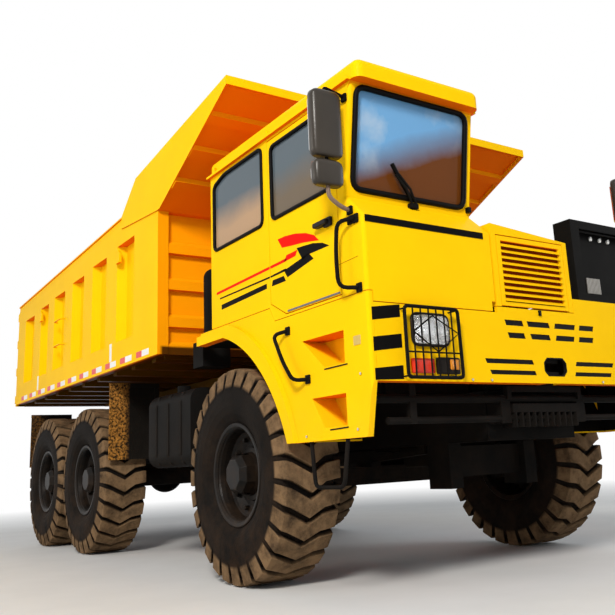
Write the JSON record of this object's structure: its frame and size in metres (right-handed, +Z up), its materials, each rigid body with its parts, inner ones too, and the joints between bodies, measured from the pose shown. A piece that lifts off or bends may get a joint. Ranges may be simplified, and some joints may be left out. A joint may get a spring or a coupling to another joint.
{
  "type": "mining dump truck",
  "caption": "Rigid six-wheel mining dump truck with an offset half cab, steered front wheels and a rear-tipping ribbed load body with a canopy.",
  "frame": {"origin": "on the ground below the centre of the bounding box", "axes": "+X forward, +Y to the truck's left, +Z up"},
  "size_m": [8.59, 3.8, 3.954],
  "materials": {
    "body_yellow": "glossy warm yellow paint",
    "chassis_black": "semi-gloss black paint with dust",
    "rim_black": "black paint, dusty",
    "tyre_rubber": "ribbed rock-lug rubber, muddy",
    "flap_rubber": "black rubber caked with brown mud",
    "cast_black": "dark oiled castings",
    "hoist_steel": "ground steel tube",
    "cab_glass": "clear tinted glass",
    "lamp_glass": "ribbed clear lens",
    "signal_glass": "orange and red lens",
    "black_plastic": "grained black plastic",
    "trim_grey": "grey moulded trim",
    "seat_fabric": "dark woven seat cloth"
  },
  "bodies": {
    "chassis": {"chassis_frame": "chassis_black", "front_axle": "cast_black", "suspension": "cast_black", "drive_axles": "cast_black", "engine": "cast_black", "driveline": "cast_black", "radiator_cores": "chassis_black", "under_nose": "chassis_black", "fuel_tank": "chassis_black", "hydraulic_tank": "chassis_black", "stacks": "chassis_black", "mudflaps": "flap_rubber", "front_apron": "body_yellow", "step_panel_right": "body_yellow", "step_panel_left": "body_yellow", "hood": "body_yellow", "cooler_box": "chassis_black", "cab_floor": "body_yellow", "cab_right_side": "body_yellow", "cab_left_side": "body_yellow", "cab_rear_wall": "body_yellow", "cab_front": "body_yellow", "cab_roof": "body_yellow", "cab_glass": "cab_glass", "dashboard": "trim_grey", "seat_base": "trim_grey", "seat_cushion": "seat_fabric", "headlamps": "lamp_glass", "signal_lamps": "signal_glass", "lamp_guards": "chassis_black", "mirrors": "black_plastic", "tube_steps": "chassis_black"},
    "steer_right": {"knuckle_right": "cast_black"},
    "steer_left": {"knuckle_left": "cast_black"},
    "track_rod": {"track_rod": "cast_black"},
    "wheel_front_right": {"tyre_front_right": "tyre_rubber", "rim_front_right": "rim_black"},
    "wheel_front_left": {"tyre_front_left": "tyre_rubber", "rim_front_left": "rim_black"},
    "wheel_mid_right": {"tyre_mid_right": "tyre_rubber", "rim_mid_right": "rim_black"},
    "wheel_mid_left": {"tyre_mid_left": "tyre_rubber", "rim_mid_left": "rim_black"},
    "wheel_rear_right": {"tyre_rear_right": "tyre_rubber", "rim_rear_right": "rim_black"},
    "wheel_rear_left": {"tyre_rear_left": "tyre_rubber", "rim_rear_left": "rim_black"},
    "door": {"door": "body_yellow", "door_glass": "cab_glass"},
    "steering_wheel": {"steering_wheel": "black_plastic"},
    "grille_lid": {"grille_lid": "body_yellow"},
    "bed": {"bed_floor": "body_yellow", "bed_sides": "body_yellow", "bed_front_wall": "body_yellow", "canopy": "body_yellow"},
    "tailgate": {"tailgate": "body_yellow"},
    "hoist_base_tube": {"hoist_base_tube": "hoist_steel"},
    "hoist_sleeve_inner": {"hoist_sleeve_inner": "hoist_steel"},
    "hoist_sleeve_outer": {"hoist_sleeve_outer": "hoist_steel"},
    "hoist_cover": {"hoist_cover": "chassis_black"}
  },
  "joints": [
    {"name": "steer_right", "type": "hinge", "parent": "chassis", "child": "steer_right", "pos_m": [2.455, -1.27, 0.79], "axis": [0, 0, 1], "range_deg": [-32, 32]},
    {"name": "steer_left", "type": "hinge", "parent": "chassis", "child": "steer_left", "pos_m": [2.455, 1.27, 0.79], "axis": [0, 0, 1], "range_deg": [-32, 32]},
    {"name": "track_rod_slide", "type": "slide", "parent": "chassis", "child": "track_rod", "axis": [0, 1, 0], "range_m": [-0.1065, 0.1065]},
    {"name": "spin_front_right", "type": "hinge", "parent": "steer_right", "child": "wheel_front_right", "pos_m": [2.455, -1.425, 0.79], "axis": [0, 1, 0], "continuous": true},
    {"name": "spin_front_left", "type": "hinge", "parent": "steer_left", "child": "wheel_front_left", "pos_m": [2.455, 1.425, 0.79], "axis": [0, 1, 0], "continuous": true},
    {"name": "spin_mid_right", "type": "hinge", "parent": "chassis", "child": "wheel_mid_right", "pos_m": [-1.305, -1.4, 0.79], "axis": [0, 1, 0], "continuous": true},
    {"name": "spin_mid_left", "type": "hinge", "parent": "chassis", "child": "wheel_mid_left", "pos_m": [-1.305, 1.4, 0.79], "axis": [0, 1, 0], "continuous": true},
    {"name": "spin_rear_right", "type": "hinge", "parent": "chassis", "child": "wheel_rear_right", "pos_m": [-2.895, -1.4, 0.79], "axis": [0, 1, 0], "continuous": true},
    {"name": "spin_rear_left", "type": "hinge", "parent": "chassis", "child": "wheel_rear_left", "pos_m": [-2.895, 1.4, 0.79], "axis": [0, 1, 0], "continuous": true},
    {"name": "door_hinge", "type": "hinge", "parent": "chassis", "child": "door", "pos_m": [3.047, -1.62, 2.55], "axis": [0, 0, -1], "range_deg": [0, 75]},
    {"name": "steering_wheel_turn", "type": "hinge", "parent": "chassis", "child": "steering_wheel", "pos_m": [3.61, -1.08, 2.55], "axis": [-0.5, 0, 0.866], "range_deg": [-481, 481]},
    {"name": "grille_lid_hinge", "type": "hinge", "parent": "chassis", "child": "grille_lid", "pos_m": [4.217, -0.13, 2.3295], "axis": [0, -1, 0], "range_deg": [0, 60]},
    {"name": "bed_tilt", "type": "hinge", "parent": "chassis", "child": "bed", "pos_m": [-3.44, 0, 1.4], "axis": [0, -1, 0], "range_deg": [0, 45]},
    {"name": "tailgate_hinge", "type": "hinge", "parent": "bed", "child": "tailgate", "pos_m": [-4.221, 0, 3.231], "axis": [0, 1, 0], "range_deg": [0, 60]},
    {"name": "hoist_foot", "type": "hinge", "parent": "chassis", "child": "hoist_base_tube", "pos_m": [1.33, 0, 1], "axis": [0, -1, 0], "range_deg": [0, 22.6]},
    {"name": "hoist_slide_inner", "type": "slide", "parent": "hoist_base_tube", "child": "hoist_sleeve_inner", "axis": [-0.0115, 0, 0.9999], "range_m": [0, 1.2054]},
    {"name": "hoist_slide_outer", "type": "slide", "parent": "hoist_sleeve_inner", "child": "hoist_sleeve_outer", "axis": [-0.0115, 0, 0.9999], "range_m": [0, 1.2054]},
    {"name": "hoist_slide_cover", "type": "slide", "parent": "hoist_sleeve_outer", "child": "hoist_cover", "axis": [-0.0115, 0, 0.9999], "range_m": [0, 1.2054]}
  ],
  "couplings": [
    {"joint": "steer_left", "follows": "steer_right", "ratio": 1},
    {"joint": "track_rod_slide", "follows": "steer_right", "m_per_rad": -0.1898},
    {"joint": "steering_wheel_turn", "follows": "steer_right", "ratio": 15},
    {"joint": "hoist_foot", "follows": "bed_tilt", "ratio": 0.5},
    {"joint": "hoist_slide_inner", "follows": "bed_tilt", "m_per_rad": 1.5335},
    {"joint": "hoist_slide_outer", "follows": "bed_tilt", "m_per_rad": 1.5335},
    {"joint": "hoist_slide_cover", "follows": "bed_tilt", "m_per_rad": 1.5335}
  ]
}
